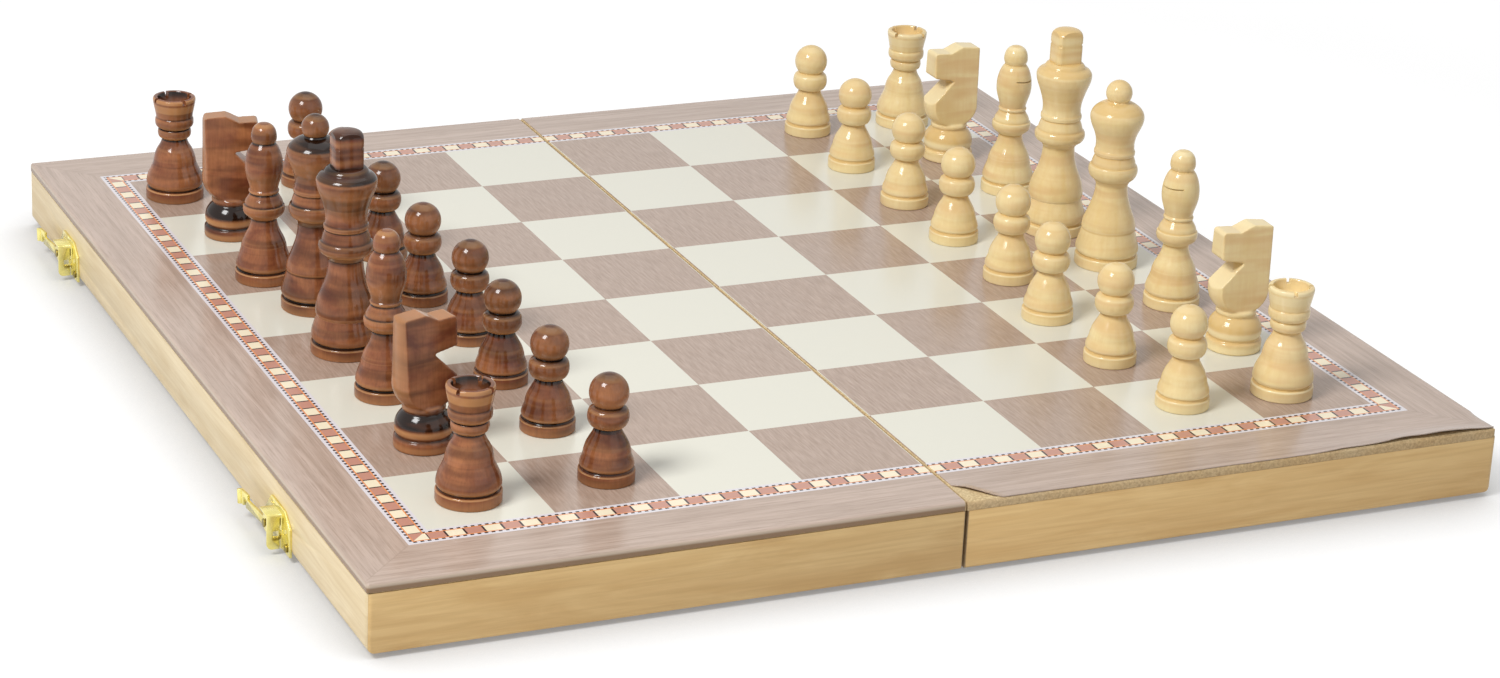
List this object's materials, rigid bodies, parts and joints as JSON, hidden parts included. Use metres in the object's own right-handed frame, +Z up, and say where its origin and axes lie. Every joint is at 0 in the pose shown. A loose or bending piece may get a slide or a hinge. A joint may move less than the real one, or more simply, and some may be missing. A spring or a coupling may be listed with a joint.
{
  "type": "folding chess box",
  "caption": "Hinged wooden folding chess box, lying open as a board with its turned chessmen set out, closed by hook catches at one end.",
  "frame": {"origin": "on the table, at the middle of the fold line, level with the lowest line of the hinge knuckles", "axes": "+X from the fold towards the light men's end, +Y from the front to the back, +Z up; the fold runs along Y"},
  "size_m": [0.4101, 0.4, 0.1037],
  "materials": {
    "fibreboard": "raw fibreboard edge, matt",
    "board_film": "printed glossy film, cream and walnut squares",
    "lining_print": "printed satin lining with backgammon points",
    "end_rail_wood": "pale satin pine",
    "rail_wood": "pale satin pine",
    "hinge_brass": "brassed steel, satin",
    "catch_brass": "polished brass",
    "dark_lacquered_wood": "red-brown stain with burnt bands, gloss lacquer",
    "light_lacquered_wood": "natural boxwood colour, gloss lacquer"
  },
  "bodies": {
    "left_half": {"left_panel": "fibreboard", "left_board_film": "board_film", "left_lining": "lining_print", "left_front_rail": "rail_wood", "left_back_rail": "rail_wood", "left_end_rail": "end_rail_wood", "left_centre_rail": "rail_wood", "front_hinge_left_leaf": "hinge_brass", "back_hinge_left_leaf": "hinge_brass", "hinge_pins": "hinge_brass", "left_hinge_screws": "hinge_brass", "front_catch_plate": "catch_brass", "back_catch_plate": "catch_brass", "catch_pins": "catch_brass"},
    "right_half": {"right_panel": "fibreboard", "right_board_film": "board_film", "right_lining": "lining_print", "right_front_rail": "rail_wood", "right_back_rail": "rail_wood", "right_end_rail": "end_rail_wood", "right_centre_rail": "rail_wood", "front_hinge_right_leaf": "hinge_brass", "back_hinge_right_leaf": "hinge_brass", "right_hinge_screws": "hinge_brass", "keeper_plates": "catch_brass", "keeper_nails": "catch_brass"},
    "front_hook": {"front_catch_hook": "catch_brass"},
    "back_hook": {"back_catch_hook": "catch_brass"},
    "dark_rook_1": {"dark_rook_1": "dark_lacquered_wood"},
    "dark_knight_1": {"dark_knight_1": "dark_lacquered_wood"},
    "dark_bishop_1": {"dark_bishop_1": "dark_lacquered_wood"},
    "dark_king": {"dark_king": "dark_lacquered_wood"},
    "dark_queen": {"dark_queen": "dark_lacquered_wood"},
    "dark_bishop_2": {"dark_bishop_2": "dark_lacquered_wood"},
    "dark_knight_2": {"dark_knight_2": "dark_lacquered_wood"},
    "dark_rook_2": {"dark_rook_2": "dark_lacquered_wood"},
    "dark_pawn_1": {"dark_pawn_1": "dark_lacquered_wood"},
    "dark_pawn_2": {"dark_pawn_2": "dark_lacquered_wood"},
    "dark_pawn_3": {"dark_pawn_3": "dark_lacquered_wood"},
    "dark_pawn_4": {"dark_pawn_4": "dark_lacquered_wood"},
    "dark_pawn_5": {"dark_pawn_5": "dark_lacquered_wood"},
    "dark_pawn_6": {"dark_pawn_6": "dark_lacquered_wood"},
    "dark_pawn_7": {"dark_pawn_7": "dark_lacquered_wood"},
    "dark_pawn_8": {"dark_pawn_8": "dark_lacquered_wood"},
    "light_rook_1": {"light_rook_1": "light_lacquered_wood"},
    "light_knight_1": {"light_knight_1": "light_lacquered_wood"},
    "light_bishop_1": {"light_bishop_1": "light_lacquered_wood"},
    "light_king": {"light_king": "light_lacquered_wood"},
    "light_queen": {"light_queen": "light_lacquered_wood"},
    "light_bishop_2": {"light_bishop_2": "light_lacquered_wood"},
    "light_knight_2": {"light_knight_2": "light_lacquered_wood"},
    "light_rook_2": {"light_rook_2": "light_lacquered_wood"},
    "light_pawn_1": {"light_pawn_1": "light_lacquered_wood"},
    "light_pawn_2": {"light_pawn_2": "light_lacquered_wood"},
    "light_pawn_3": {"light_pawn_3": "light_lacquered_wood"},
    "light_pawn_4": {"light_pawn_4": "light_lacquered_wood"},
    "light_pawn_5": {"light_pawn_5": "light_lacquered_wood"},
    "light_pawn_6": {"light_pawn_6": "light_lacquered_wood"},
    "light_pawn_7": {"light_pawn_7": "light_lacquered_wood"},
    "light_pawn_8": {"light_pawn_8": "light_lacquered_wood"}
  },
  "joints": [
    {"name": "board_fold", "type": "hinge", "parent": "left_half", "child": "right_half", "pos_m": [0, 0, 0.00125], "axis": [0, 1, 0], "range_deg": [0, 180]},
    {"name": "catch_front_swing", "type": "hinge", "parent": "left_half", "child": "front_hook", "pos_m": [-0.199, -0.1155, 0.0096], "axis": [-1, 0, 0], "range_deg": [-6, 84]},
    {"name": "catch_back_swing", "type": "hinge", "parent": "left_half", "child": "back_hook", "pos_m": [-0.199, 0.1405, 0.0096], "axis": [-1, 0, 0], "range_deg": [-6, 84]},
    {"name": "dark_rook_1_lift", "type": "slide", "parent": "left_half", "child": "dark_rook_1", "axis": [0, 0, 1], "range_m": [0, 0.1]},
    {"name": "dark_knight_1_lift", "type": "slide", "parent": "left_half", "child": "dark_knight_1", "axis": [0, 0, 1], "range_m": [0, 0.1]},
    {"name": "dark_bishop_1_lift", "type": "slide", "parent": "left_half", "child": "dark_bishop_1", "axis": [0, 0, 1], "range_m": [0, 0.1]},
    {"name": "dark_king_lift", "type": "slide", "parent": "left_half", "child": "dark_king", "axis": [0, 0, 1], "range_m": [0, 0.1]},
    {"name": "dark_queen_lift", "type": "slide", "parent": "left_half", "child": "dark_queen", "axis": [0, 0, 1], "range_m": [0, 0.1]},
    {"name": "dark_bishop_2_lift", "type": "slide", "parent": "left_half", "child": "dark_bishop_2", "axis": [0, 0, 1], "range_m": [0, 0.1]},
    {"name": "dark_knight_2_lift", "type": "slide", "parent": "left_half", "child": "dark_knight_2", "axis": [0, 0, 1], "range_m": [0, 0.1]},
    {"name": "dark_rook_2_lift", "type": "slide", "parent": "left_half", "child": "dark_rook_2", "axis": [0, 0, 1], "range_m": [0, 0.1]},
    {"name": "dark_pawn_1_lift", "type": "slide", "parent": "left_half", "child": "dark_pawn_1", "axis": [0, 0, 1], "range_m": [0, 0.1]},
    {"name": "dark_pawn_2_lift", "type": "slide", "parent": "left_half", "child": "dark_pawn_2", "axis": [0, 0, 1], "range_m": [0, 0.1]},
    {"name": "dark_pawn_3_lift", "type": "slide", "parent": "left_half", "child": "dark_pawn_3", "axis": [0, 0, 1], "range_m": [0, 0.1]},
    {"name": "dark_pawn_4_lift", "type": "slide", "parent": "left_half", "child": "dark_pawn_4", "axis": [0, 0, 1], "range_m": [0, 0.1]},
    {"name": "dark_pawn_5_lift", "type": "slide", "parent": "left_half", "child": "dark_pawn_5", "axis": [0, 0, 1], "range_m": [0, 0.1]},
    {"name": "dark_pawn_6_lift", "type": "slide", "parent": "left_half", "child": "dark_pawn_6", "axis": [0, 0, 1], "range_m": [0, 0.1]},
    {"name": "dark_pawn_7_lift", "type": "slide", "parent": "left_half", "child": "dark_pawn_7", "axis": [0, 0, 1], "range_m": [0, 0.1]},
    {"name": "dark_pawn_8_lift", "type": "slide", "parent": "left_half", "child": "dark_pawn_8", "axis": [0, 0, 1], "range_m": [0, 0.1]},
    {"name": "light_rook_1_lift", "type": "slide", "parent": "right_half", "child": "light_rook_1", "axis": [0, 0, 1], "range_m": [0, 0.1]},
    {"name": "light_knight_1_lift", "type": "slide", "parent": "right_half", "child": "light_knight_1", "axis": [0, 0, 1], "range_m": [0, 0.1]},
    {"name": "light_bishop_1_lift", "type": "slide", "parent": "right_half", "child": "light_bishop_1", "axis": [0, 0, 1], "range_m": [0, 0.1]},
    {"name": "light_king_lift", "type": "slide", "parent": "right_half", "child": "light_king", "axis": [0, 0, 1], "range_m": [0, 0.1]},
    {"name": "light_queen_lift", "type": "slide", "parent": "right_half", "child": "light_queen", "axis": [0, 0, 1], "range_m": [0, 0.1]},
    {"name": "light_bishop_2_lift", "type": "slide", "parent": "right_half", "child": "light_bishop_2", "axis": [0, 0, 1], "range_m": [0, 0.1]},
    {"name": "light_knight_2_lift", "type": "slide", "parent": "right_half", "child": "light_knight_2", "axis": [0, 0, 1], "range_m": [0, 0.1]},
    {"name": "light_rook_2_lift", "type": "slide", "parent": "right_half", "child": "light_rook_2", "axis": [0, 0, 1], "range_m": [0, 0.1]},
    {"name": "light_pawn_1_lift", "type": "slide", "parent": "right_half", "child": "light_pawn_1", "axis": [0, 0, 1], "range_m": [0, 0.1]},
    {"name": "light_pawn_2_lift", "type": "slide", "parent": "right_half", "child": "light_pawn_2", "axis": [0, 0, 1], "range_m": [0, 0.1]},
    {"name": "light_pawn_3_lift", "type": "slide", "parent": "right_half", "child": "light_pawn_3", "axis": [0, 0, 1], "range_m": [0, 0.1]},
    {"name": "light_pawn_4_lift", "type": "slide", "parent": "right_half", "child": "light_pawn_4", "axis": [0, 0, 1], "range_m": [0, 0.1]},
    {"name": "light_pawn_5_lift", "type": "slide", "parent": "right_half", "child": "light_pawn_5", "axis": [0, 0, 1], "range_m": [0, 0.1]},
    {"name": "light_pawn_6_lift", "type": "slide", "parent": "right_half", "child": "light_pawn_6", "axis": [0, 0, 1], "range_m": [0, 0.1]},
    {"name": "light_pawn_7_lift", "type": "slide", "parent": "right_half", "child": "light_pawn_7", "axis": [0, 0, 1], "range_m": [0, 0.1]},
    {"name": "light_pawn_8_lift", "type": "slide", "parent": "right_half", "child": "light_pawn_8", "axis": [0, 0, 1], "range_m": [0, 0.1]}
  ]
}
